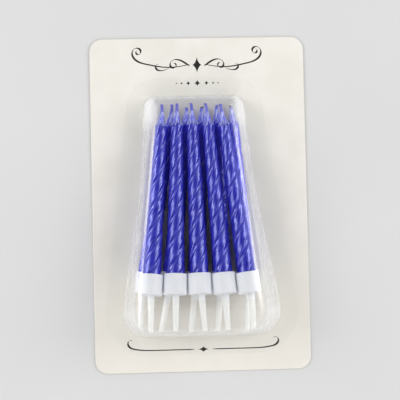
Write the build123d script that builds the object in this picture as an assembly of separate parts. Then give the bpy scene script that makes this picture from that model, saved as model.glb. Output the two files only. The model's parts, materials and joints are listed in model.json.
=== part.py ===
from build123d import *
import math
import os

# A carded set of spiral birthday candles, in millimetres.
# The card lies on its back: +Z points out of its printed face, +Y to the wick ends, +X to the right.
# The origin is the middle of the card's back face.

# Backing card
card_width = 68.0
card_length = 105.5
card_thickness = 0.5
card_corner_radius = 4.0

# Candle, measured along its own axis from its flat foot
candle_foot_diameter = 6.2
candle_shoulder_diameter = 3.7
candle_body_length = 51.9
candle_cone_length = 4.2
candle_tip_diameter = 1.3
lobe_count = 4
groove_depth = 0.42
twist_lead = 29.6
sections_per_turn = 12

# Wick, bedded in the candle from foot to tip
wick_diameter = 0.9
wick_bare_length = 2.6
wick_fit = 0.05

# Holder, a cup with a spike moulded below it
cup_height = 7.0
cup_floor = 1.5
cup_wall = 0.42
cup_fit = 0.1
cup_foot_radius = 0.4
cup_rim_radius = 0.12
spike_length = 11.2
spike_top_diameter = 2.1
spike_end_diameter = 1.55

# Two rows of candles that fan out from the wicks to the cups
units_per_row = 5
rest_gap = 0.22
row_gap = 0.28
front_cup_gap = 0.26
back_cup_gap = 0.66
front_shoulder_gap = 1.2
back_shoulder_gap = 1.3
front_cup_shift = -1.45
front_shoulder_shift = -2.2
back_cup_shift = -1.9
back_shoulder_shift = 0.8
front_cup_place = -24.8
back_cup_place = -24.3

# Turn of each candle in its cup, degrees, left to right
front_turns = [18.0, 64.0, 2.0, 69.0, 40.0]
back_turns = [60.0, 25.0, 81.0, 44.0, 15.0]

# Blister, one formed film with a flat flange all round
film_thickness = 0.3
flange_width = 6.0
side_draft = 0.2
end_draft = 0.05
roof_room = 0.45
left_room_at_cups = 2.4
left_room_at_shoulders = 4.0
right_room_at_cups = 5.8
right_room_at_shoulders = 3.3
wick_end_room = 1.6
spike_end_room = 1.9
wick_end_corner_radius = 3.3
spike_end_corner_radius = 5.5
roof_edge_radius = 3.0

# Sizes that follow from those above
cup_bore = candle_foot_diameter + 2 * cup_fit
cup_diameter = cup_bore + 2 * cup_wall
cup_middle = cup_height / 2
shoulder_height = cup_floor + candle_body_length
wick_length = candle_body_length + candle_cone_length + wick_bare_length
wick_tip_height = cup_floor + wick_length

back_cup_level = card_thickness + rest_gap + cup_diameter / 2
back_shoulder_level = card_thickness + rest_gap + candle_shoulder_diameter / 2
front_cup_level = back_cup_level + cup_diameter + row_gap
front_shoulder_level = back_shoulder_level + candle_shoulder_diameter + row_gap


def backing_card():
    """A flat sheet with rounded corners."""
    outline = RectangleRounded(card_width, card_length, card_corner_radius)
    return extrude(outline, card_thickness)


def lobed_section(height, radius, turn):
    """Outline of the twisted body: one outward arc for each lobe, meeting in grooves."""
    groove_radius = radius - groove_depth
    half_lobe = 180 / lobe_count
    arcs = []
    for lobe in range(lobe_count):
        crest = turn + lobe * 2 * half_lobe
        start = Vector(groove_radius, 0, height).rotate(Axis.Z, crest - half_lobe)
        top = Vector(radius, 0, height).rotate(Axis.Z, crest)
        end = Vector(groove_radius, 0, height).rotate(Axis.Z, crest + half_lobe)
        arcs.append(Edge.make_three_point_arc(start, top, end))
    return Wire(arcs, sequenced=True)


def candle(turn):
    """Tapered body twisted about its axis, a plain cone above the shoulder, and a bore for the wick."""
    steps = math.ceil(sections_per_turn * candle_body_length / twist_lead)
    foot_radius = candle_foot_diameter / 2
    shoulder_radius = candle_shoulder_diameter / 2
    sections = []
    for step in range(steps + 1):
        share = step / steps
        height = candle_body_length * share
        radius = foot_radius + (shoulder_radius - foot_radius) * share
        sections.append(lobed_section(height, radius, turn + 360 * height / twist_lead))
    body = Solid.make_loft(sections)
    cone = Solid.make_cone(shoulder_radius - groove_depth, candle_tip_diameter / 2, candle_cone_length)
    bore = Solid.make_cylinder(wick_diameter / 2 + wick_fit, wick_length)
    return body + Pos(0, 0, candle_body_length) * cone - bore


def wick():
    """A round waxed thread that runs the whole candle and stands out of its tip."""
    return Solid.make_cylinder(wick_diameter / 2, wick_length)


def holder():
    """Cup and spike turned from one half profile, with rounded rims."""
    cup_radius = cup_diameter / 2
    bore_radius = cup_bore / 2
    profile = Polyline(
        (0, -spike_length),
        (spike_end_diameter / 2, -spike_length),
        (spike_top_diameter / 2, 0),
        (cup_radius, 0),
        (cup_radius, cup_height),
        (bore_radius, cup_height),
        (bore_radius, cup_floor),
        (0, cup_floor),
        close=True,
    )
    half = make_face(profile)
    rim = [v for v in half.vertices() if v.Y > cup_height - cup_rim_radius]
    half = fillet(rim, cup_rim_radius)
    foot = [v for v in half.vertices() if abs(v.Y) < cup_rim_radius and v.X > bore_radius]
    half = fillet(foot, cup_foot_radius)
    return revolve(Plane.XZ * half, Axis.Z)


class Unit:
    """Place of one candle in its holder: a frame on the cup's foot, along the candle's axis."""

    def __init__(self, cup_x, shoulder_x, cup_y, cup_z, shoulder_z):
        run = shoulder_height - cup_middle
        across = shoulder_x - cup_x
        rise = shoulder_z - cup_z
        along = math.sqrt(run**2 - across**2 - rise**2)
        self.axis = Vector(across, along, rise).normalized()
        self.foot = Vector(cup_x, cup_y, cup_z) - self.axis * cup_middle
        outward = Vector(0, 0, 1)
        outward = outward - self.axis * outward.dot(self.axis)
        self.cup_frame = Plane(self.foot, x_dir=outward, z_dir=self.axis)
        self.candle_frame = Plane(self.at(cup_floor), x_dir=outward, z_dir=self.axis)

    def at(self, height):
        """Point on the axis at a height above the cup's foot."""
        return self.foot + self.axis * height


def row_of_units(cup_gap, shoulder_gap, cup_shift, shoulder_shift, cup_y, cup_z, shoulder_z):
    """One row, evenly spread at the cups and closer together at the shoulders."""
    cup_pitch = cup_diameter + cup_gap
    shoulder_pitch = candle_shoulder_diameter + shoulder_gap
    units = []
    for place in range(units_per_row):
        step = place - (units_per_row - 1) / 2
        cup_x = cup_shift + step * cup_pitch
        shoulder_x = shoulder_shift + step * shoulder_pitch
        units.append(Unit(cup_x, shoulder_x, cup_y, cup_z, shoulder_z))
    return units


front_row = row_of_units(
    front_cup_gap,
    front_shoulder_gap,
    front_cup_shift,
    front_shoulder_shift,
    front_cup_place,
    front_cup_level,
    front_shoulder_level,
)
back_row = row_of_units(
    back_cup_gap,
    back_shoulder_gap,
    back_cup_shift,
    back_shoulder_shift,
    back_cup_place,
    back_cup_level,
    back_shoulder_level,
)
units = front_row + back_row

# Reach of the set, which the blister is drawn round
cup_points = [unit.at(cup_middle) for unit in units]
shoulder_points = [unit.at(shoulder_height) for unit in units]
cups_left = min(p.X for p in cup_points) - cup_diameter / 2
cups_right = max(p.X for p in cup_points) + cup_diameter / 2
shoulders_left = min(p.X for p in shoulder_points) - candle_shoulder_diameter / 2
shoulders_right = max(p.X for p in shoulder_points) + candle_shoulder_diameter / 2
cups_y = min(p.Y for p in cup_points)
shoulders_y = max(p.Y for p in shoulder_points)
wick_end = max(unit.at(wick_tip_height).Y for unit in units) + wick_end_room
spike_end = min(unit.at(-spike_length).Y for unit in units) - spike_end_room
cups_roof = front_cup_level + cup_diameter / 2 + roof_room
shoulders_roof = front_shoulder_level + candle_shoulder_diameter / 2 + roof_room


def wall_x(y, cups_x, shoulders_x):
    """Foot of a side wall at a given Y, on the line past the cups and the shoulders."""
    return cups_x + (shoulders_x - cups_x) * (y - cups_y) / (shoulders_y - cups_y)


def foot_corners():
    """Corners of the dome's foot on the card, anticlockwise from the lower left."""
    left = (cups_left - left_room_at_cups, shoulders_left - left_room_at_shoulders)
    right = (cups_right + right_room_at_cups, shoulders_right + right_room_at_shoulders)
    return [
        Vector(wall_x(spike_end, *left), spike_end, card_thickness),
        Vector(wall_x(spike_end, *right), spike_end, card_thickness),
        Vector(wall_x(wick_end, *right), wick_end, card_thickness),
        Vector(wall_x(wick_end, *left), wick_end, card_thickness),
    ]


def dome(inset):
    """Four leaning walls and a sloping roof, all moved inwards by the inset, with rounded edges."""
    corners = foot_corners()
    drafts = [end_draft, side_draft, end_draft, side_draft]
    reach = card_length
    solid = Pos(0, 0, card_thickness) * Box(reach, reach, reach, align=(Align.CENTER, Align.CENTER, Align.MIN))
    for number, draft in enumerate(drafts):
        start = corners[number]
        run = (corners[(number + 1) % len(corners)] - start).normalized()
        outward = (run.cross(Vector(0, 0, 1)) + Vector(0, 0, draft)).normalized()
        wall = Plane(start - outward * inset, z_dir=outward)
        solid = split(solid, bisect_by=wall, keep=Keep.BOTTOM)
    slope = Vector(0, shoulders_y - cups_y, shoulders_roof - cups_roof).normalized()
    upward = Vector(1, 0, 0).cross(slope)
    roof_point = Vector(0, cups_y, cups_roof)
    roof = Plane(roof_point + upward * (film_thickness - inset), z_dir=upward)
    solid = split(solid, bisect_by=roof, keep=Keep.BOTTOM)

    above_foot = card_thickness + film_thickness
    uprights = [e for e in solid.edges() if min(v.Z for v in e.vertices()) < above_foot]
    uprights = [e for e in uprights if max(v.Z for v in e.vertices()) > above_foot]
    wick_end_uprights = [e for e in uprights if e.center().Y > 0]
    spike_end_uprights = [e for e in uprights if e.center().Y < 0]
    solid = fillet(wick_end_uprights, wick_end_corner_radius - inset)
    spike_end_places = [e.center() for e in spike_end_uprights]
    spike_end_uprights = [solid.edges().sort_by_distance(place)[0] for place in spike_end_places]
    solid = fillet(spike_end_uprights, spike_end_corner_radius - inset)
    roof_face = solid.faces().sort_by(lambda face: face.normal_at().dot(upward))[-1]
    return fillet(roof_face.edges(), roof_edge_radius - inset)


def blister():
    """The formed film: flange and dome outside, less the same dome moved in by the film."""
    foot = make_face(Polyline(*foot_corners(), close=True))
    flange = extrude(offset(foot, flange_width, kind=Kind.ARC), film_thickness, dir=(0, 0, 1))
    return flange + dome(0) - dome(film_thickness)


os.makedirs("parts", exist_ok=True)
export_step(backing_card(), "parts/backing_card.step")
export_step(blister(), "parts/blister.step")
for row, row_units, turns in (("front", front_row, front_turns), ("back", back_row, back_turns)):
    for place, unit in enumerate(row_units):
        label = f"{row}_{place + 1}"
        turn = turns[place % len(turns)]
        export_step(unit.cup_frame.location * holder(), f"parts/holder_{label}.step")
        export_step(unit.candle_frame.location * candle(turn), f"parts/candle_{label}.step")
        export_step(unit.candle_frame.location * wick(), f"parts/wick_{label}.step")

print("unit length", round(spike_length + wick_tip_height, 2), "candle length", round(wick_length, 2))
print("dome foot corners", [(round(c.X, 2), round(c.Y, 2)) for c in foot_corners()])
print("peel line at y", round(wick_end + flange_width, 3), "z", round(card_thickness + film_thickness, 3))
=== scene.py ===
import json
import math

import bpy
import numpy as np
from mathutils import Matrix, Vector


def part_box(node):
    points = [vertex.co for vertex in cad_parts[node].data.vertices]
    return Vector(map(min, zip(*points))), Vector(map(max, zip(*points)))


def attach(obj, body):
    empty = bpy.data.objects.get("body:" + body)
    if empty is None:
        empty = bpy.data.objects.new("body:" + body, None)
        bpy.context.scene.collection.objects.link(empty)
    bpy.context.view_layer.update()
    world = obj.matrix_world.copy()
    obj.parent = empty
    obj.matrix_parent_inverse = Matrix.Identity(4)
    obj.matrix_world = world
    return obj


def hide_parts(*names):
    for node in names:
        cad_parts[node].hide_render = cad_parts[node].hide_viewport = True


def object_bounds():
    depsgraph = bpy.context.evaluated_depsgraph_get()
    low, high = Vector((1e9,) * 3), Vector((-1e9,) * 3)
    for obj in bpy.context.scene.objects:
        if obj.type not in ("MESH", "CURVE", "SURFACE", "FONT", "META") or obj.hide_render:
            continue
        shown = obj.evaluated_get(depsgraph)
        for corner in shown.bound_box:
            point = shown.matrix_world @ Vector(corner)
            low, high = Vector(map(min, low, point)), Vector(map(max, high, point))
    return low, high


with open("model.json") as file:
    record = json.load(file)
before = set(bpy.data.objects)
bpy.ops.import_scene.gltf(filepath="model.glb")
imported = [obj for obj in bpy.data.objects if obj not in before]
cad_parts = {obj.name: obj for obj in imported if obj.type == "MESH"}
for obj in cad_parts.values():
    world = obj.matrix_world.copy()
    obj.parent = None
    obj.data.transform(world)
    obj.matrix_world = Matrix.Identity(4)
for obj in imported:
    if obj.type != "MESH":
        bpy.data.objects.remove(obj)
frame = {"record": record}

cad_low, cad_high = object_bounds()

# Backing card: a sheet of cream paperboard, die-cut with round corners and a flat coated face.
# The cutting rule presses its front edge over and leaves the greyer pulp bare along the cut.
mm = 0.001
card_low, card_high = (np.array(corner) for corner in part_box("backing_card"))
card_corner_radius = 4.0 * mm
card_front_edge_round = 0.16 * mm
card_back_edge_round = 0.05 * mm
card_flat_margin = 3.0 * mm
card_back_face_rings = 2
card_bare_front_rings = 2
card_front = card_high[2]
smallest_corner = 0.25 * mm


def rounded_outline(corners, radii, inset, arc_steps, side_steps):
    """Outline of a polygon whose sides are moved in by the inset and whose corners are cut by arcs.

    Each arc is centred where its two sides, moved in by inset plus radius, meet. It swings from one
    side's outward normal to the next one's, and straight runs join the arcs. Corners go anticlockwise,
    and no arc is tighter than the smallest corner.
    """
    side = np.roll(corners, -1, axis=-2) - corners
    side = side / np.linalg.norm(side, axis=-1, keepdims=True)
    normal = np.stack([side[..., 1], -side[..., 0]], axis=-1)
    normal_before = np.roll(normal, 1, axis=-2)
    facing = 1 + (normal * normal_before).sum(axis=-1, keepdims=True)
    inward = -(normal + normal_before) / facing
    radius = np.maximum(radii - inset, smallest_corner)
    centre = corners + inward * (inset + radius)[..., None]
    start = np.arctan2(normal_before[..., 1], normal_before[..., 0])
    sweep = np.mod(np.arctan2(normal[..., 1], normal[..., 0]) - start, 2 * math.pi)
    angle = start[..., None] + sweep[..., None] * np.linspace(0, 1, arc_steps)
    swing = np.stack([np.cos(angle), np.sin(angle)], axis=-1)
    arc = centre[..., None, :] + radius[..., None, None] * swing
    share = np.linspace(0, 1, side_steps + 2)[1:-1, None]
    run_start = arc[..., -1:, :]
    run_end = np.roll(arc[..., :1, :], -1, axis=-3)
    run = run_start + (run_end - run_start) * share
    ring = np.concatenate([arc, run], axis=-2)
    return ring.reshape(*corners.shape[:-2], -1, 2)


def skin(rings, first="pole", last="pole"):
    """Vertices and sets of faces between rings of points, each ring closed on itself.

    An end ring is drawn to one point in its middle (pole), left open, or joined to the other end (loop).
    """
    count, around = rings.shape[:2]
    numbers = np.arange(count * around).reshape(count, around)
    lower = numbers if last == "loop" else numbers[:-1]
    upper = np.roll(numbers, -1, axis=0) if last == "loop" else numbers[1:]
    quads = np.stack([lower, np.roll(lower, -1, 1), np.roll(upper, -1, 1), upper], axis=-1)
    face_sets = [quads.reshape(-1, 4)]
    vertices = [rings.reshape(-1, 3)]
    if first == "pole":
        middle = np.full(around, count * around)
        face_sets.append(np.stack([np.roll(numbers[0], -1), numbers[0], middle], axis=-1))
        vertices.append(rings[0].mean(axis=0)[None])
    if last == "pole":
        middle = np.full(around, count * around + len(vertices) - 1)
        face_sets.append(np.stack([numbers[-1], np.roll(numbers[-1], -1), middle], axis=-1))
        vertices.append(rings[-1].mean(axis=0)[None])
    return np.concatenate(vertices), face_sets


def make_piece(name, skins, material, smooth=True):
    """One mesh object from one or more skins, in its place, with its material."""
    vertices = []
    faces = []
    total = 0
    for points, face_sets in skins:
        for face_set in face_sets:
            faces += (face_set + total).tolist()
        vertices.append(points)
        total += len(points)
    mesh = bpy.data.meshes.new(name)
    mesh.from_pydata(np.concatenate(vertices).tolist(), [], faces)
    mesh.polygons.foreach_set("use_smooth", np.full(len(mesh.polygons), smooth))
    mesh.materials.append(material)
    piece = bpy.data.objects.new(name, mesh)
    bpy.context.scene.collection.objects.link(piece)
    return piece


def mark(piece, name, values):
    """A number for every vertex, from a grid of rings, with the mean of an end ring at its pole."""
    end_means = [values[0].mean(), values[-1].mean()]
    poles = len(piece.data.vertices) - values.size
    flat = np.concatenate([values.ravel(), end_means[2 - poles:]])
    attribute = piece.data.attributes.new(name, "FLOAT", "POINT")
    attribute.data.foreach_set("value", flat.astype(np.float32))


def new_finish(name):
    """A material with its node tree and its main shader."""
    material = bpy.data.materials.new(name)
    material.use_nodes = True
    tree = material.node_tree
    return material, tree, tree.nodes["Principled BSDF"]


def add_node(tree, kind, inputs=None, **settings):
    """A node with its settings, and its sockets set to plain values or linked to other outputs."""
    made = tree.nodes.new("ShaderNode" + kind)
    for name, value in settings.items():
        setattr(made, name, value)
    for socket, value in (inputs or {}).items():
        if isinstance(value, bpy.types.NodeSocket):
            tree.links.new(value, made.inputs[socket])
        else:
            made.inputs[socket].default_value = value
    return made


def noise(tree, scale, detail=3.0, vector=None):
    """Grey noise with so many lumps to a metre, on Object coordinates unless a vector is given."""
    if vector is None:
        vector = add_node(tree, "TexCoord").outputs["Object"]
    made = add_node(tree, "TexNoise", {"Vector": vector, "Scale": scale, "Detail": detail})
    return made.outputs["Fac"]


def spread(tree, value, low, high, out_low=0.0, out_high=1.0):
    """The value stretched from one range to another, held at its ends."""
    inputs = {"Value": value, "From Min": low, "From Max": high, "To Min": out_low, "To Max": out_high}
    return add_node(tree, "MapRange", inputs).outputs["Result"]


def mix_colours(tree, share, first, second):
    """First colour where the share is 0, second where it is 1."""
    made = add_node(tree, "Mix", data_type="RGBA")
    for socket, value in ((0, share), (6, first), (7, second)):
        if isinstance(value, bpy.types.NodeSocket):
            tree.links.new(value, made.inputs[socket])
        else:
            made.inputs[socket].default_value = value
    return made.outputs[2]


def add_bump(tree, shader, height, depth, strength=1.0):
    """Small relief on a shader: the height runs from 0 to 1, the depth is in metres."""
    inputs = {"Height": height, "Distance": depth, "Strength": strength}
    bump = add_node(tree, "Bump", inputs)
    tree.links.new(bump.outputs["Normal"], shader.inputs["Normal"])


def colour(red, green, blue):
    """An sRGB colour of 0 to 255 as the linear colour that a socket holds."""
    share = np.array([red, green, blue]) / 255
    linear = np.where(share <= 0.04045, share / 12.92, ((share + 0.055) / 1.055) ** 2.4)
    return (*linear.tolist(), 1.0)


def paperboard():
    """Cream coated board: faint cloudiness, fine fibre flecks, a soft tooth, bare pulp at the cut.

    Its cream is painted a little darker and warmer towards the end with the spikes: painted shade
    where the light falls off.
    """
    material, tree, shader = new_finish("cream_paperboard")
    clouds = spread(tree, noise(tree, 90, 2.0), 0.35, 0.65)
    board = mix_colours(tree, clouds, colour(227, 224, 216), colour(233, 230, 223))
    place = add_node(tree, "SeparateXYZ", {0: add_node(tree, "TexCoord").outputs["Object"]})
    # Painted shade: the board darkens and warms towards the spike end, where the light falls off.
    painted_falloff_to_spikes = spread(tree, place.outputs["Y"], 20 * mm, -50 * mm, 0.0, 0.5)
    board = mix_colours(tree, painted_falloff_to_spikes, board, colour(230, 225, 216))
    flecks = spread(tree, noise(tree, 2600, 4.0), 0.62, 0.78, 0.0, 0.35)
    board = mix_colours(tree, flecks, board, colour(222, 214, 200))
    cut = add_node(tree, "Attribute", attribute_name="cut").outputs["Fac"]
    pulp_grain = spread(tree, noise(tree, 5200, 3.0), 0.3, 0.7)
    pulp = mix_colours(tree, pulp_grain, colour(196, 190, 178), colour(224, 218, 206))
    board = mix_colours(tree, cut, board, pulp)
    tree.links.new(board, shader.inputs["Base Color"])
    sheen_patches = spread(tree, noise(tree, 300, 2.0), 0.3, 0.7, 0.48, 0.6)
    tree.links.new(sheen_patches, shader.inputs["Roughness"])
    shader.inputs["Specular IOR Level"].default_value = 0.35
    add_bump(tree, shader, noise(tree, 3400, 4.0), 0.02 * mm)
    return material


def edge_arc(radius, start, end, steps):
    """An edge's rounding as insets from the side and rises, between two angles of a quarter circle."""
    angle = np.radians(np.linspace(start, end, steps))
    return radius * (1 - np.cos(angle)), radius * np.sin(angle)


front_inset, front_rise = edge_arc(card_front_edge_round, 0, 90, steps=7)
back_inset, back_rise = edge_arc(card_back_edge_round, 90, 0, steps=4)
card_insets = np.concatenate([[card_flat_margin, 2 * card_front_edge_round], back_inset,
                              front_inset, [2 * card_front_edge_round, card_flat_margin]])
card_heights = np.concatenate([[card_low[2], card_low[2]],
                               card_low[2] + card_back_edge_round - back_rise,
                               card_front - card_front_edge_round + front_rise,
                               [card_front, card_front]])
card_corners = np.array([[card_low[0], card_low[1]], [card_high[0], card_low[1]],
                         [card_high[0], card_high[1]], [card_low[0], card_high[1]]])
card_rings = rounded_outline(
    np.repeat(card_corners[None], len(card_insets), axis=0),
    np.full((len(card_insets), 4), card_corner_radius), card_insets[:, None], arc_steps=14, side_steps=12)
card_levels = np.broadcast_to(card_heights[:, None], card_rings.shape[:2])
card_cut = np.zeros(card_rings.shape[:2])
card_cut[card_back_face_rings:card_back_face_rings + len(back_inset) + card_bare_front_rings] = 1.0
card = make_piece("backing_card_sheet", [skin(np.dstack([card_rings, card_levels]))], paperboard())
mark(card, "cut", card_cut)
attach(card, "card")
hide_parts("backing_card")

# Printed ornament: black ink on the card's face, a scrolled flourish over a small row of stars,
# and a tapered rule with a lozenge below the dome. It is a film of ink, pressed flat.
ink_top = card_front + 0.012 * mm
ink_bottom = card_front - 0.004 * mm
nib_angle = math.radians(38)
thin_stroke = 0.13 * mm
thick_stroke = 0.62 * mm
stroke_taper = 1.6 * mm
stroke_points = 160
star_points = 48
dot_points = 28
flourish_level = 44.2
star_row_level = 38.4
rule_level = -45.8


def pen_stroke(start, heading, knots, bends, sense):
    """A pen line of ink as a thin ribbon, on the right of the card or, with a sense of -1, on the left.

    Its heading is the running sum of a bend that changes evenly between knots, its place the running
    sum of its heading. Its width grows as it crosses the nib's edge and tapers at both ends. Places are
    in millimetres, the first heading in degrees and the bends in radians to a millimetre.
    """
    place = np.linspace(0, knots[-1] * mm, stroke_points)
    step = place[1]
    bend = np.interp(place, np.array(knots) * mm, np.array(bends) / mm)
    angle = math.radians(heading) + np.cumsum(bend) * step
    x = sense * (start[0] * mm + np.cumsum(np.cos(angle)) * step)
    y = start[1] * mm + np.cumsum(np.sin(angle)) * step
    swell = np.sin(angle + nib_angle) ** 2
    taper = np.sqrt(np.clip(np.minimum(place, place[-1] - place) / stroke_taper, 0.02, 1))
    half = (thin_stroke + (thick_stroke - thin_stroke) * swell) * taper / 2
    across = np.stack([-np.sin(angle), sense * np.cos(angle)], axis=-1) * half[:, None]
    middle = np.stack([x, y], axis=-1)
    return ink_ribbon(middle + across, middle - across)


def ink_ribbon(left, right):
    """A flat closed ribbon between a left and a right line, as thick as the ink."""
    ring = np.stack([left, right, right, left], axis=1)
    level = np.broadcast_to([ink_top, ink_top, ink_bottom, ink_bottom], ring.shape[:2])
    return skin(np.dstack([ring, level]))


def ink_patch(centre, across, along):
    """A flat closed patch of ink, from the places of its rim across and along the card, in millimetres."""
    ring = np.stack([centre[0] + across, centre[1] + along], axis=-1) * mm
    low = np.column_stack([ring, np.full(len(ring), ink_bottom)])
    high = np.column_stack([ring, np.full(len(ring), ink_top)])
    return skin(np.stack([low, high]))


def ink_star(centre, reach_x, reach_y):
    """A four-pointed star: the cube of the cosine across, the cube of the sine along."""
    angle = np.linspace(0, 2 * math.pi, star_points, endpoint=False)
    return ink_patch(centre, reach_x * np.cos(angle) ** 3, reach_y * np.sin(angle) ** 3)


def ink_dot(centre, radius):
    """A round dot of ink."""
    angle = np.linspace(0, 2 * math.pi, dot_points, endpoint=False)
    return ink_patch(centre, radius * np.cos(angle), radius * np.sin(angle))


def printing_ink():
    """Black ink, a little uneven where the board's tooth takes less of it."""
    material, tree, shader = new_finish("black_printing_ink")
    patches = spread(tree, noise(tree, 4200, 3.0), 0.45, 0.8)
    ink = mix_colours(tree, patches, colour(24, 23, 22), colour(62, 60, 57))
    tree.links.new(ink, shader.inputs["Base Color"])
    tree.links.new(spread(tree, patches, 0, 1, 0.4, 0.6), shader.inputs["Roughness"])
    return material


ink_marks = [ink_star((0, flourish_level), 1.5, 2.6), ink_star((0, star_row_level), 1.0, 1.0)]
for side in (-1, 1):
    ink_marks += [
        pen_stroke((2.0, flourish_level + 0.3), -14, (0, 8, 14, 18, 24, 28),
                   (0.02, 0.055, 0.0, 0.25, 0.85, 1.7), side),
        pen_stroke((2.2, flourish_level - 0.4), 34, (0, 3, 6, 12), (0.05, -0.12, -0.5, -1.5), side),
        pen_stroke((8.5, flourish_level - 0.6), -34, (0, 3, 7), (0.1, 0.25, 1.5), side),
        pen_stroke((2.6, rule_level), 0, (0, 12, 19, 24), (0.0, 0.0, 0.06, 1.3), side),
        ink_star((side * 2.9, star_row_level), 0.7, 0.7),
        ink_dot((side * 5.0, star_row_level), 0.28),
        ink_dot((side * 6.6, star_row_level), 0.2),
    ]
ink_marks.append(ink_star((0, rule_level), 1.7, 0.9))
ornament = make_piece("card_ornament", ink_marks, printing_ink(), smooth=False)
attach(ornament, "card")

# Holders: ten white mouldings, each a cup on a tapered spike that is pushed into the cake.
# They are moulded in one piece, a little warmer in tone at the spike, with a fine parting line.
spike_length = 11.2 * mm
spike_end_radius = 0.775 * mm
spike_top_radius = 1.05 * mm
spike_end_round = 0.22 * mm
spike_root_fillet = 0.45 * mm
cup_height = 6.5 * mm
cup_radius = 3.71 * mm
cup_bore_radius = 3.2 * mm
cup_floor = 1.5 * mm
cup_foot_round = 0.4 * mm
cup_rim_round = 0.12 * mm
parting_ridge = 0.018 * mm
crisp_margin = 0.15 * mm
spike_taper_step = 0.01 * mm
spike_tint_share = 0.25
spike_root_shift = {"front": (0.3, 0.2, 0.4, 0.2, 0.4), "back": (-0.5, -0.5, -0.5, -0.6, -0.4)}
spike_end_shift = {"front": (1.0, 0.35, 1.05, -0.2, -0.45), "back": (0.3, -1.8, -1.2, -1.7, -1.3)}
spike_stretch = {"front": (0.0, 0.0, 0.0, 0.0, 0.0), "back": (0.0, 1.0, 1.1, 0.8, 1.0)}
holder_columns = 72
spike_rings = 14

units = []
spike_mounts = {mount["name"]: mount for mount in frame["record"]["mounts"]
                if mount["name"].startswith("spike_")}
for row in ("back", "front"):
    for number in range(1, 6):
        mount = spike_mounts[f"spike_{row}_{number}"]
        axis = -np.array(mount["axis"])
        outward = np.array([0.0, 0.0, 1.0]) - axis[2] * axis
        outward = outward / np.linalg.norm(outward)
        units.append({
            "row": row, "number": number, "label": f"{row}_{number}",
            "axis": axis, "outward": outward, "side": np.cross(axis, outward),
            "foot": np.array(mount["pos_m"]) + axis * spike_length,
            "root_shift": spike_root_shift[row][number - 1] * mm,
            "end_shift": spike_end_shift[row][number - 1] * mm,
            "stretch": spike_stretch[row][number - 1] * mm,
        })


def round_axis(unit, height, radius, angle):
    """Points at a height above a cup's foot, a radius from the axis and an angle from the front to +X."""
    return (unit["foot"] + height[..., None] * unit["axis"]
            + (radius * np.cos(angle))[..., None] * unit["outward"]
            + (radius * np.sin(angle))[..., None] * unit["side"])


def corner_arc(centre, radius, start, end, steps=6):
    """Part of a circle in a half profile, from one angle to another, as radii and heights."""
    angle = np.radians(np.linspace(start, end, steps))
    return np.array(centre) + radius * np.stack([np.cos(angle), np.sin(angle)], axis=-1)


def holder_profile():
    """Half profile from the spike's end up the outside, over the rim and down to the cup's floor.

    Points a small margin off each rounding keep the stretches between them straight.
    """
    lip = cup_rim_round
    spike_start = spike_end_round - spike_length
    fillet_end = spike_top_radius + spike_root_fillet
    return np.concatenate([
        [[0.4 * spike_end_radius, -spike_length]],
        corner_arc((spike_end_radius - spike_end_round, spike_start), spike_end_round, -90, 0),
        np.linspace([spike_end_radius + spike_taper_step, spike_start + crisp_margin],
                    [spike_top_radius - spike_taper_step, -spike_root_fillet - crisp_margin], spike_rings),
        corner_arc((fillet_end, -spike_root_fillet), spike_root_fillet, 180, 90),
        [[fillet_end + crisp_margin, 0.0], [cup_radius - cup_foot_round - crisp_margin, 0.0]],
        corner_arc((cup_radius - cup_foot_round, cup_foot_round), cup_foot_round, -90, 0),
        [[cup_radius, cup_foot_round + crisp_margin], [cup_radius, cup_height - lip - crisp_margin]],
        corner_arc((cup_radius - lip, cup_height - lip), lip, 0, 90),
        corner_arc((cup_bore_radius + lip, cup_height - lip), lip, 90, 180),
        [[cup_bore_radius, cup_height - lip - crisp_margin], [cup_bore_radius, cup_floor + 2 * lip]],
        corner_arc((cup_bore_radius - lip, cup_floor + lip), lip, 0, -90),
        [[0.5 * cup_bore_radius, cup_floor]],
    ])


def moulded_plastic():
    """White moulding: faint flow marks, a soft gloss and a little light through thin places."""
    material, tree, shader = new_finish("white_moulded_plastic")
    flow = spread(tree, noise(tree, 260, 2.0), 0.35, 0.65)
    white = mix_colours(tree, flow, colour(244, 246, 253), colour(250, 251, 255))
    spike = add_node(tree, "Attribute", attribute_name="spike").outputs["Fac"]
    white = mix_colours(tree, spike, white, colour(251, 250, 247))
    tree.links.new(white, shader.inputs["Base Color"])
    tree.links.new(spread(tree, noise(tree, 900, 3.0), 0.3, 0.7, 0.3, 0.42), shader.inputs["Roughness"])
    shader.inputs["Subsurface Weight"].default_value = 0.1
    shader.inputs["Subsurface Radius"].default_value = (1.0, 0.95, 0.9)
    shader.inputs["Subsurface Scale"].default_value = 1.6 * mm
    add_bump(tree, shader, noise(tree, 1500, 2.0), 0.01 * mm)
    return material


profile = holder_profile()
turn = np.linspace(0, 2 * math.pi, holder_columns, endpoint=False)
on_parting_line = np.arange(holder_columns) % (holder_columns // 2) == holder_columns // 4
outside = (np.arange(len(profile)) < np.argmax(profile[:, 1]))[:, None]
holder_heights = np.broadcast_to(profile[:, 1:2], (len(profile), holder_columns))
holder_radii = profile[:, :1] + parting_ridge * (on_parting_line & outside)
spike_share = np.clip(-holder_heights / spike_length, 0, 1)
below_cup = holder_heights < 0
holder_finish = moulded_plastic()
for unit in units:
    rings = round_axis(unit, holder_heights, holder_radii, np.broadcast_to(turn, holder_radii.shape))
    shift = unit["root_shift"] + (unit["end_shift"] - unit["root_shift"]) * spike_share
    rings = rings + (shift * below_cup)[..., None] * unit["side"]
    rings = rings - (unit["stretch"] * spike_share)[..., None] * unit["axis"]
    holder = make_piece("moulded_holder_" + unit["label"], [skin(rings)], holder_finish)
    mark(holder, "spike", np.clip(spike_share / spike_tint_share, 0, 1))
    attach(holder, f"{unit['row']}_holder_{unit['number']}")
    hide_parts("holder_" + unit["label"])

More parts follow.
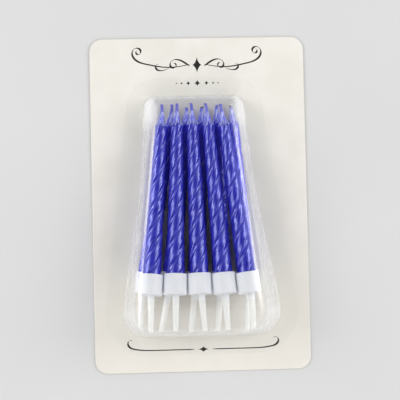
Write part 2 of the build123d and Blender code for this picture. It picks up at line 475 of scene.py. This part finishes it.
# Candles: dyed blue wax, drawn as a round bar with four shallow grooves, tapered and twisted.
# The wick end is dipped to a hollow cone over a crumbly ledge. The foot stands on the cup's floor.
candle_length = 51.9 * mm
cone_length = 4.2 * mm
foot_radius = 3.1 * mm
shoulder_radius = 1.85 * mm
tip_radius = 0.65 * mm
groove_count = 4
groove_half_angle = math.radians(12.7)
groove_flank_angle = math.radians(5.0)
groove_share = 0.135
twist_lead = 29.6 * mm
shoulder_round = 0.6 * mm
cone_base_radius = 1.5 * mm
cone_hollow = 1.5
cone_flutes = 9
flute_depth = 0.17 * mm
crumb_reach = 0.5 * mm
crumb_size = 0.19 * mm
crumb_counts = (7, 11, 17)
crumb_highlight_lift = 0.3
land_swell = 0.03 * mm
swell_lengths = (3.1 * mm, 5.3 * mm, 9.7 * mm)
bore_radius = 0.5 * mm
bore_mouth_edge = 0.06 * mm
foot_edge_round = 0.25 * mm
columns_per_groove = 28
column_shares = (0.0, 0.14, 0.44, 0.56, 0.86, 1.0)
column_degrees = (-45.0, -22.0, -6.0, 6.0, 22.0, 45.0)
ring_step = 0.27 * mm
foot_ring_share = 0.35
ledge_rings = 14
ledge_sweep = 88.0
cone_rings = 18
cone_ring_span = (0.02, 0.97)
drawn_stretch = 0.12
candle_turns = {"front": (18.0, 64.0, 2.0, 69.0, 40.0), "back": (60.0, 25.0, 81.0, 44.0, 15.0)}


def bar_section(off_groove):
    """Radius of the bar, 1 on its lands, at an angle off the middle of the nearest groove.

    The groove has a level floor. Each flank is a hyperbolic tangent across its angle.
    """
    near_flank = np.tanh((off_groove + groove_half_angle) / groove_flank_angle)
    far_flank = np.tanh((off_groove - groove_half_angle) / groove_flank_angle)
    return 1 - groove_share * (near_flank - far_flank) / 2


def land_wave(height, land, draw):
    """Slow swellings along each land, a sum of sines with drawn phases, about -1 to 1."""
    total = np.zeros((len(height), len(land)))
    for length in swell_lengths:
        phase = draw.uniform(0, 2 * math.pi, groove_count)
        total = total + np.sin(2 * math.pi * height / length + phase[land])
    return total / len(swell_lengths)


def crumbs_round(angle, draw):
    """Uneven lumps round the ledge, a sum of sines of whole numbers of turns, about -1 to 1."""
    total = np.zeros_like(angle)
    for lumps in crumb_counts:
        total = total + np.sin(lumps * angle + draw.uniform(0, 2 * math.pi))
    return total / 2


def candle_rings(unit, turn_at_foot, draw):
    """Rings from the foot up the twisted body, over the ledge and the cone, and down the wick's bore.

    A ring's columns turn with the twist, so that every groove follows its columns. At the ledge the ring
    draws in along an arc and lumps stand in a bell over height. The cone narrows by a power of the way
    up, with shallow flutes. Also gives the crumbs' tops, which carry a painted highlight, the share up the
    cone, which carries a painted glow, and the untwisted place that drawn streaks follow.
    """
    body = np.arange(foot_edge_round, candle_length - shoulder_round, ring_step)
    ledge_angle = np.radians(np.linspace(0, ledge_sweep, ledge_rings))
    ledge = candle_length - shoulder_round + shoulder_round * np.sin(ledge_angle)
    cone = candle_length + cone_length * np.linspace(*cone_ring_span, cone_rings)
    height = np.concatenate([[0.0, foot_ring_share * foot_edge_round], body, ledge, cone])[:, None]
    column = np.arange(groove_count * columns_per_groove)
    groove = column // columns_per_groove
    share = column % columns_per_groove / columns_per_groove
    off_groove = np.radians(np.interp(share, column_shares, column_degrees))
    column_angle = groove * 2 * math.pi / groove_count + off_groove
    land = (groove + (off_groove > 0)) % groove_count

    into_ledge = np.clip((height - candle_length + shoulder_round) / shoulder_round, 0, 1)
    up_cone = np.clip((height - candle_length) / cone_length, 0, 1)
    into_foot = 1 - np.clip(height / foot_edge_round, 0, 1)
    taper = foot_radius + (shoulder_radius - foot_radius) * np.clip(height / candle_length, 0, 1)
    swell = land_swell * (land_wave(height, land, draw) - 1) * np.sin(2 * off_groove) ** 2
    body_radius = taper * bar_section(off_groove) + swell
    body_radius = body_radius - foot_edge_round * (1 - np.sqrt(1 - into_foot**2))
    flutes = (1 - np.cos(cone_flutes * column_angle)) / 2 * np.sqrt(1 - up_cone)
    cone_radius = tip_radius + (cone_base_radius - tip_radius) * (1 - up_cone) ** cone_hollow
    cone_radius = cone_radius - flute_depth * flutes
    arc = np.sqrt(1 - into_ledge**2)
    crumbs = crumbs_round(column_angle, draw) * np.exp(-(((height - candle_length) / crumb_reach) ** 2))
    radius = cone_radius + (body_radius - cone_radius) * arc + crumb_size * crumbs

    bore_height = np.array([candle_length + cone_length, candle_length + cone_length, 0.0])[:, None]
    bore = np.array([tip_radius - bore_mouth_edge, bore_radius, bore_radius])[:, None] + 0 * column_angle
    heights = np.concatenate([height + 0 * radius, bore_height + 0 * bore])
    radii = np.concatenate([radius, bore])
    angles = math.radians(turn_at_foot) + 2 * math.pi * heights / twist_lead + column_angle
    lifted = heights + np.concatenate([crumb_size * crumbs, 0 * bore])
    points = round_axis(unit, cup_floor + lifted, radii, angles)
    drawn = np.stack([radii * np.cos(column_angle), radii * np.sin(column_angle),
                      drawn_stretch * heights], axis=-1)
    # The crumbs' tops, lifted a little, carry a painted highlight in the wax's colour.
    painted_crumb_highlight = np.clip(crumbs + crumb_highlight_lift, 0, 1) * (into_ledge > 0)
    shares = {"crumbs": np.concatenate([painted_crumb_highlight, 0 * bore]),
              "cone": np.concatenate([np.sqrt(up_cone) + 0 * radius, 1 + 0 * bore])}
    return points, shares, drawn


def candle_wax():
    """Blue pearly wax: drawn streaks and dimples along the twist, a blue gloss, pale cone and crumbs.

    The back row is painted a stronger blue: a painted glow for the blue light that the wax passes into the
    shade of the front row. The pale cone is a painted glow for light through its thin wax, and the pale
    crumbs carry a painted highlight.
    """
    material, tree, shader = new_finish("blue_twisted_wax")
    cone = add_node(tree, "Attribute", attribute_name="cone").outputs["Fac"]
    crumbs = add_node(tree, "Attribute", attribute_name="crumbs").outputs["Fac"]
    drawn = add_node(tree, "Attribute", attribute_name="drawn").outputs["Vector"]
    streaks = noise(tree, 2600, 4.0, drawn)
    blue = mix_colours(tree, spread(tree, streaks, 0.38, 0.62), colour(41, 39, 172), colour(54, 55, 206))
    bloom = spread(tree, noise(tree, 3600, 5.0), 0.6, 0.8, 0.0, 0.3)
    blue = mix_colours(tree, bloom, blue, colour(112, 116, 236))
    # Painted glow: the back row is mixed towards a brighter blue for the blue light that reaches it in the
    # shade of the front row.
    back_row = add_node(tree, "Attribute", attribute_name="back_row").outputs["Fac"]
    blue = mix_colours(tree, spread(tree, back_row, 0.0, 1.0, 0.0, 0.7), blue, colour(60, 56, 250))
    # Painted glow: the cone is painted pale blue with near-white veins for light shining through its thin
    # wax.
    glow_veins = spread(tree, noise(tree, 2000, 3.0, drawn), 0.44, 0.56)
    thin_wax_painted_glow = mix_colours(tree, glow_veins, colour(98, 104, 246), colour(206, 212, 255))
    blue = mix_colours(tree, spread(tree, cone, 0.1, 0.6, 0.0, 0.95), blue, thin_wax_painted_glow)
    # Painted highlight: the crumbs' tops are mixed towards a pale blue where light catches them.
    blue = mix_colours(tree, spread(tree, crumbs, 0.2, 0.9, 0.0, 0.85), blue, colour(204, 210, 255))
    tree.links.new(blue, shader.inputs["Base Color"])
    tree.links.new(spread(tree, streaks, 0.3, 0.7, 0.15, 0.26), shader.inputs["Roughness"])
    shader.inputs["IOR"].default_value = 1.8
    shader.inputs["Specular IOR Level"].default_value = 1.0
    shader.inputs["Specular Tint"].default_value = (0.54, 0.57, 1.0, 1.0)
    shader.inputs["Subsurface Weight"].default_value = 0.08
    shader.inputs["Subsurface Radius"].default_value = (0.15, 0.13, 1.0)
    shader.inputs["Subsurface Scale"].default_value = 1.5 * mm
    dimples = noise(tree, 1100, 2.0, drawn)
    relief = add_node(tree, "Math", {0: dimples, 1: 5.0, 2: streaks}, operation="MULTIPLY_ADD")
    add_bump(tree, shader, relief.outputs[0], 0.05 * mm, 0.8)
    return material


wax_finish = candle_wax()
for place, unit in enumerate(units):
    draw = np.random.default_rng(place)
    turn_at_foot = candle_turns[unit["row"]][unit["number"] - 1]
    rings, shares, drawn = candle_rings(unit, turn_at_foot, draw)
    candle = make_piece("twisted_candle_" + unit["label"], [skin(rings, "loop", "loop")], wax_finish)
    # Marks the back row for its painted glow of blue light in the front row's shade.
    shares["back_row"] = np.full(rings.shape[:2], float(unit["row"] == "back"))
    for name, share in shares.items():
        mark(candle, name, share)
    streak_place = candle.data.attributes.new("drawn", "FLOAT_VECTOR", "POINT")
    streak_place.data.foreach_set("vector", drawn.ravel().astype(np.float32))
    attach(candle, f"{unit['row']}_candle_{unit['number']}")
    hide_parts("candle_" + unit["label"])

# Wicks: three twisted cotton strands soaked in the candle's wax, from the foot to past the tip.
# Wax thickens them where they leave the cone. Each bare end leans its own way, and some are dark.
wick_radius = 0.47 * mm
wick_strand_relief = 0.05 * mm
wick_lead = 2.2 * mm
wick_bare = {"front": (2.55, 2.55, 2.6, 2.6, 2.6), "back": (2.6, 1.1, 1.0, 1.4, 1.3)}
wick_lean = 0.45 * mm
wick_least_lean_share = 0.4
wick_outward_share = 0.5
wick_end_round = 0.2 * mm
wax_collar = 0.1 * mm
wax_collar_reach = 0.6 * mm
wick_plain_end = 1.0 * mm
wick_fine_start = 0.9 * mm
wick_fine_rings = 46
wick_columns = 24
dark_ends = {"back_3", "back_5"}
soot_start = 0.4
soot_fade = 0.3
faint_soot = 0.12
wick_seed = 100


def wick_rings(unit, draw):
    """Rings along the wick, close together from just below the cone's tip: three strands that turn.

    The strands are three cosine waves round the wick. Past the cone a collar of wax thins out as a bell,
    the line leans aside with the square of its height, and the end is rounded off. Also gives the share
    of the bare length.
    """
    tip = candle_length + cone_length
    bare = wick_bare[unit["row"]][unit["number"] - 1] * mm
    buried = np.array([0.0, 0.5 * tip, tip - wick_plain_end])
    shown = tip - wick_fine_start + (bare + wick_fine_start) * np.linspace(0, 1, wick_fine_rings)
    height = np.concatenate([buried, shown])[:, None]
    column = np.linspace(0, 2 * math.pi, wick_columns, endpoint=False)[None]
    angle = column + 2 * math.pi * height / wick_lead
    out = np.clip((height - tip) / bare, 0, 1)
    to_end = np.clip((tip + bare - height) / wick_end_round, 0, 1)
    cap = np.sqrt(np.clip(1 - (1 - to_end) ** 2, 0.02, 1))
    collar = wax_collar * np.exp(-(((height - tip) / wax_collar_reach) ** 2)) * (height > tip)
    radius = (wick_radius + wick_strand_relief * np.cos(3 * column) + collar) * cap
    points = round_axis(unit, cup_floor + height + 0 * radius, radius, angle)
    heading = draw.uniform(0, 2 * math.pi)
    reach = wick_lean * draw.uniform(wick_least_lean_share, 1.0)
    lean = math.cos(heading) * wick_outward_share * unit["outward"] + math.sin(heading) * unit["side"]
    points = points + (reach * out**2)[..., None] * lean
    return points, out + 0 * radius


def waxed_cotton():
    """Waxed cotton: the candle's blue where it was dipped, pale fibre between, soot at a dark end."""
    material, tree, shader = new_finish("waxed_cotton_wick")
    soot = add_node(tree, "Attribute", attribute_name="soot").outputs["Fac"]
    fibres = spread(tree, noise(tree, 3200, 4.0), 0.35, 0.7)
    cotton = mix_colours(tree, fibres, colour(86, 86, 212), colour(158, 162, 244))
    cotton = mix_colours(tree, soot, cotton, colour(34, 28, 48))
    tree.links.new(cotton, shader.inputs["Base Color"])
    tree.links.new(spread(tree, fibres, 0, 1, 0.4, 0.65), shader.inputs["Roughness"])
    add_bump(tree, shader, noise(tree, 6000, 3.0), 0.04 * mm)
    return material


wick_finish = waxed_cotton()
for place, unit in enumerate(units):
    rings, out = wick_rings(unit, np.random.default_rng(wick_seed + place))
    wick = make_piece("cotton_wick_" + unit["label"], [skin(rings)], wick_finish)
    soot = faint_soot * out
    if unit["label"] in dark_ends:
        soot = np.clip((out - soot_start) / soot_fade, 0, 1)
    mark(wick, "soot", soot)
    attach(wick, f"{unit['row']}_candle_{unit['number']}")
    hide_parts("wick_" + unit["label"])

# Blister: one clear film, vacuum-formed into a dome whose roof slopes down to the wicks.
# Its flat flange is heat-sealed to the card. The walls draw in at the waist and carry small dents.
film = 0.27 * mm
seal_depth = 0.03 * mm
flange_width = 6.0 * mm
flange_edge_insets = (0.0 * mm, 0.12 * mm, 0.4 * mm)
flange_inner_start = 1.5 * mm
blister_low, blister_high = (np.array(corner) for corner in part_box("blister"))
flange_top = card_front + seal_depth + film
wick_end_left = -16.4 * mm
wick_end_right = 13.8 * mm
end_draft = 0.05
left_drafts = {"spike end": 0.165, "wick end": 0.29}
right_drafts = {"spike end": 0.36, "wick end": 0.38}
roof_at_cups = (-24.8 * mm, 16.05 * mm)
roof_at_shoulders = (25.57 * mm, 9.15 * mm)
roof_round = 2.8 * mm
foot_fillet = 0.8 * mm
wick_end_corner = 3.3 * mm
spike_end_corner = 7.5 * mm
roof_ripple = 0.03 * mm
ripple_across = 2.3 * mm
ripple_along = 3.7 * mm
ripple_sway = 5.1 * mm
side_blend = 5.0 * mm
flange_rings = 7
rounding_rings = 11
wall_rings = 18
roof_rings = 26
roof_middle_share = 0.04
waists = (
    {"side": -1, "place": 4.0 * mm, "reach": 19.0 * mm, "depth": 1.6 * mm},
    {"side": 1, "place": 3.0 * mm, "reach": 22.0 * mm, "depth": 1.35 * mm},
)
dents = (
    {"side": -1, "place": 20.7 * mm, "reach": 1.1 * mm, "depth": 0.45 * mm},
    {"side": -1, "place": -10.0 * mm, "reach": 1.6 * mm, "depth": 0.5 * mm},
    {"side": 1, "place": 16.3 * mm, "reach": 1.2 * mm, "depth": 0.5 * mm},
)
spike_end_scuff = {"start": 27.0 * mm, "fade": 6.0 * mm, "share": 0.5}
wick_end_scuff = {"start": 20.0 * mm, "fade": 7.0 * mm}
corner_scuff = {"start": 10.9 * mm, "fade": 2.8 * mm}


def roof_height(y):
    """Height of the roof's outer face at a place along the card: a straight slope through two points."""
    share = (y - roof_at_cups[0]) / (roof_at_shoulders[0] - roof_at_cups[0])
    return roof_at_cups[1] + (roof_at_shoulders[1] - roof_at_cups[1]) * share


def blister_rings():
    """Rings from the flange's edge in to the foot, up the walls, over the rounded roof edge to the middle.

    Wall rings lie between the foot's corners and the roof's corners. The roof edge is a quarter
    circle: inset by radius less cosine, dropped by radius less sine. Roof rings shrink to the middle.
    Also gives each ring's share of sealing, and of the waist that draws the foot in.
    """
    low_y = blister_low[1] + flange_width
    high_y = blister_high[1] - flange_width
    foot = np.array([[blister_low[0] + flange_width, low_y], [blister_high[0] - flange_width, low_y],
                     [wick_end_right, high_y], [wick_end_left, high_y]])
    draft = np.array([[left_drafts["spike end"], end_draft], [-right_drafts["spike end"], end_draft],
                      [-right_drafts["wick end"], -end_draft], [left_drafts["wick end"], -end_draft]])
    rise = roof_height(foot[:, 1]) - card_front
    corner_radii = np.array([[spike_end_corner, spike_end_corner, wick_end_corner, wick_end_corner]])

    swing = np.radians(np.linspace(0, 90, rounding_rings))
    flange_inset = np.concatenate([
        np.array(flange_edge_insets) - flange_width,
        np.linspace(flange_inner_start - flange_width, -2 * foot_fillet, flange_rings)])
    fillet_inset = -foot_fillet * (1 - np.sin(swing))
    wall_share = np.linspace(0, 1, wall_rings)[1:-1]
    edge_inset = roof_round * (1 - np.cos(swing))

    flat, bent, plain = np.zeros(len(flange_inset)), np.zeros(len(swing)), np.zeros(len(wall_share))
    inset = np.concatenate([flange_inset, fillet_inset, plain, edge_inset])[:, None]
    up_wall = np.concatenate([flat, bent, wall_share, bent + 1])[:, None]
    start = np.concatenate([flat, foot_fillet * (1 - np.cos(swing)), plain + foot_fillet, bent])[:, None]
    drop = roof_round * np.concatenate([flat + 1, bent + 1, plain + 1, 1 - np.sin(swing)])[:, None]
    sealed = np.concatenate([flat + 1, (1 - np.sin(swing)) ** 2, plain, bent])
    waist = np.concatenate([(1 + flange_inset / flange_width) ** 2, bent + 1, 1 - wall_share, bent])

    lean = draft * (up_wall * np.maximum(rise - drop, 0))[..., None]
    plan = rounded_outline(foot + lean, corner_radii, inset, arc_steps=16, side_steps=60)
    level = flange_top + start
    height = level + (roof_height(plan[..., 1]) - drop - level) * up_wall
    body = np.dstack([plan, height])

    shrink = np.linspace(1, roof_middle_share, roof_rings)[1:, None, None]
    middle = body[-1].mean(axis=0)
    inner = middle + (body[-1] - middle) * shrink
    inner[..., 2] = roof_height(inner[..., 1])
    none = np.zeros(len(shrink))
    return np.concatenate([body, inner]), np.concatenate([sealed, none]), np.concatenate([waist, none])


def pushed_in(y, form):
    """How far a waist or dent pushes a wall in at a place along the card: a bell of its depth."""
    return form["depth"] * np.exp(-(((y - form["place"]) / form["reach"]) ** 2))


def shape_walls(rings, waist):
    """The rings with the foot drawn in along both sides, dents in the walls and a ripple in the roof.

    A waist fades to the middle of the card as a hyperbolic tangent, a dent to the foot and the roof as a
    power of a sine. The ripple is a sum of sines, in the top sixth of the height.
    """
    x, y, z = rings[..., 0], rings[..., 1], rings[..., 2]
    sideways = np.tanh(x / side_blend)
    for form in waists:
        x = x - sideways * pushed_in(y, form) * waist[:, None] * (np.sign(sideways) == form["side"])
    up = np.clip((z - flange_top) / (roof_height(y) - flange_top), 0, 1)
    on_wall = np.sin(math.pi * up) ** 1.5
    for form in dents:
        x = x - form["side"] * pushed_in(y, form) * on_wall * (np.sign(sideways) == form["side"])
    ripple = np.sin(x / ripple_across + 1.3 * np.sin(y / ripple_sway)) + np.sin(y / ripple_along + 0.7)
    z = z + roof_ripple * ripple * np.clip(up * 6 - 5, 0, 1) / 2
    return np.dstack([x, y, z])


def past(place, scuff):
    """Share from 0 where a scuff starts to 1 where it has come in fully."""
    return np.clip((place - scuff["start"]) / scuff["fade"], 0, 1)


def scuffed_corners(rings):
    """Share of scuffing: part of it past the cups at the spike end, all of it at the wick end's corners."""
    off_middle = np.abs(rings[..., 0] - (wick_end_left + wick_end_right) / 2)
    y = rings[..., 1]
    spike_end = spike_end_scuff["share"] * past(-y, spike_end_scuff)
    wick_end = past(y, wick_end_scuff) * past(off_middle, corner_scuff)
    return np.maximum(spike_end, wick_end)


def clear_film():
    """Clear film: seen through square on, mirror-like and hazy at a slant, with soft ripples.

    The haze lies in streaks along the walls, and scuffed corners are frosted. Where the film is sealed to
    the card its lower face has no air behind it, so it mirrors and scatters much less there.
    """
    material, tree, shader = new_finish("clear_formed_film")
    tree.nodes.remove(shader)
    sealed = add_node(tree, "Attribute", attribute_name="sealed").outputs["Fac"]
    open_film = spread(tree, sealed, 0.0, 1.0, 1.0, 0.06)
    ripples = add_node(tree, "Bump", {"Height": noise(tree, 260, 2.0), "Distance": 0.05 * mm,
                                      "Strength": 0.4})
    facing = add_node(tree, "LayerWeight", {"Blend": 0.5}).outputs["Facing"]
    steep = add_node(tree, "Math", {0: facing, 1: 5.0}, operation="POWER").outputs[0]
    mirrored = spread(tree, steep, 0.0, 1.0, 0.046, 0.9)
    mirror_share = add_node(tree, "Math", {0: mirrored, 1: open_film}, operation="MULTIPLY").outputs[0]
    clear = add_node(tree, "BsdfTransparent", {"Color": (0.995, 0.997, 0.995, 1.0)})
    scuffed = add_node(tree, "Attribute", attribute_name="scuffed").outputs["Fac"]
    gloss = add_node(tree, "BsdfGlossy", {"Roughness": spread(tree, scuffed, 0.0, 0.5, 0.13, 0.42),
                                          "Normal": ripples.outputs["Normal"]})
    haze = add_node(tree, "BsdfDiffuse", {"Color": (0.96, 0.96, 0.965, 1.0)})
    place = add_node(tree, "TexCoord").outputs["Object"]
    along_wall = add_node(tree, "VectorMath", {0: place, 1: (1.0, 0.07, 0.35)}, operation="MULTIPLY")
    streaks = spread(tree, noise(tree, 800, 2.0, along_wall.outputs[0]), 0.35, 0.65, 0.46, 0.74)
    slant = add_node(tree, "Math", {0: facing, 1: 2.2}, operation="POWER").outputs[0]
    frosted = spread(tree, scuffed, 0.4, 1.0, 0.0, 0.36)
    hazy = add_node(tree, "Math", {0: slant, 1: streaks, 2: frosted}, operation="MULTIPLY_ADD").outputs[0]
    haze_share = add_node(tree, "Math", {0: hazy, 1: open_film}, operation="MULTIPLY").outputs[0]
    body = add_node(tree, "MixShader", {0: haze_share, 1: clear.outputs[0], 2: haze.outputs[0]})
    film_surface = add_node(tree, "MixShader", {0: mirror_share, 1: body.outputs[0], 2: gloss.outputs[0]})
    tree.links.new(film_surface.outputs[0], tree.nodes["Material Output"].inputs["Surface"])
    return material


rings, sealed, waist = blister_rings()
rings = shape_walls(rings, waist)
dome = make_piece("blister_film", [skin(rings, "open", "pole")], clear_film())
mark(dome, "sealed", np.broadcast_to(sealed[:, None], rings.shape[:2]))
mark(dome, "scuffed", scuffed_corners(rings))
thickness = dome.modifiers.new("film_thickness", "SOLIDIFY")
thickness.thickness = film
thickness.offset = -1
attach(dome, "blister")
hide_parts("blister")

# Studio: a pale table, a soft light from each side, pale walls and a dark ceiling round the camera.
# The camera stands over the card, turned a little to the side.
table_half = 6.0
table_inner_share = 0.1
table_gap = 0.02 * mm
side_light_slant = math.radians(60)
side_light_lean = math.radians(13)
side_light_breadth = math.radians(31)
side_light_strength = 1.2
horizon_glow = 0.72
side_wall_glow = 0.86
head_wall_glow = 0.82
foot_wall_glow = 1.62
ceiling_glow = 0.02
horizon_band = (0.2, 0.4)
ceiling_band = (0.8, 0.92)
end_wall_band = (0.3, 0.6)
view_distance = 450 * mm
view_turn = math.radians(3.54)
view_pitch = math.radians(-2.31)
view_roll = math.radians(1.34)
view_offset = (0.02 * mm, -1.26 * mm)
view_lens = 127.87


def table_top():
    """Pale grey matt table with a faint mottle."""
    material, tree, shader = new_finish("pale_table")
    mottle = spread(tree, noise(tree, 14, 3.0), 0.3, 0.7)
    grey = mix_colours(tree, mottle, colour(210, 210, 210), colour(214, 214, 214))
    tree.links.new(grey, shader.inputs["Base Color"])
    shader.inputs["Roughness"].default_value = 0.7
    shader.inputs["Specular IOR Level"].default_value = 0.2
    return material


def grey_light(level):
    """A grey of one level as a socket's colour."""
    return (level, level, level, 1.0)


table_edge = np.array([[-1, -1], [1, -1], [1, 1], [-1, 1]]) * table_half
table_level = np.full(4, cad_low[2] - table_gap)
table_rings = np.stack([np.column_stack([table_edge, table_level]),
                        np.column_stack([table_edge * table_inner_share, table_level])])
table = make_piece("table", [skin(table_rings, "open", "pole")], table_top(), smooth=False)

for side in (-1, 1):
    lamp = bpy.data.lights.new("side_light", "SUN")
    lamp.energy = side_light_strength
    lamp.angle = side_light_breadth
    side_light = bpy.data.objects.new("side_light", lamp)
    level = math.cos(side_light_lean)
    towards = Vector((side * math.sin(side_light_slant) * level, math.sin(side_light_lean),
                      math.cos(side_light_slant) * level))
    side_light.matrix_world = towards.to_track_quat("Z", "Y").to_matrix().to_4x4()
    bpy.context.scene.collection.objects.link(side_light)

world = bpy.data.worlds.new("pale_studio")
world.use_nodes = True
bpy.context.scene.world = world
studio = world.node_tree
direction = add_node(studio, "TexCoord").outputs["Generated"]
aim = add_node(studio, "SeparateXYZ", {0: direction}).outputs
headward, upward = aim["Y"], aim["Z"]
footward = add_node(studio, "Math", {0: headward, 1: -1.0}, operation="MULTIPLY").outputs[0]
walls = mix_colours(studio, spread(studio, headward, *end_wall_band), grey_light(side_wall_glow),
                    grey_light(head_wall_glow))
walls = mix_colours(studio, spread(studio, footward, *end_wall_band), walls, grey_light(foot_wall_glow))
glow = mix_colours(studio, spread(studio, upward, *horizon_band), grey_light(horizon_glow), walls)
glow = mix_colours(studio, spread(studio, upward, *ceiling_band), glow, grey_light(ceiling_glow))
studio.links.new(glow, studio.nodes["Background"].inputs["Color"])

camera_data = bpy.data.cameras.new("camera")
camera_data.lens = view_lens
camera_data.sensor_width = 36.0
camera = bpy.data.objects.new("camera", camera_data)
turned = (Matrix.Rotation(view_roll, 4, "Z") @ Matrix.Rotation(view_pitch, 4, "X")
          @ Matrix.Rotation(view_turn, 4, "Y"))
camera.matrix_world = (Matrix.Translation((*view_offset, -view_distance)) @ turned).inverted()
bpy.context.scene.collection.objects.link(camera)
bpy.context.scene.camera = camera
bpy.context.scene.view_settings.view_transform = "Standard"
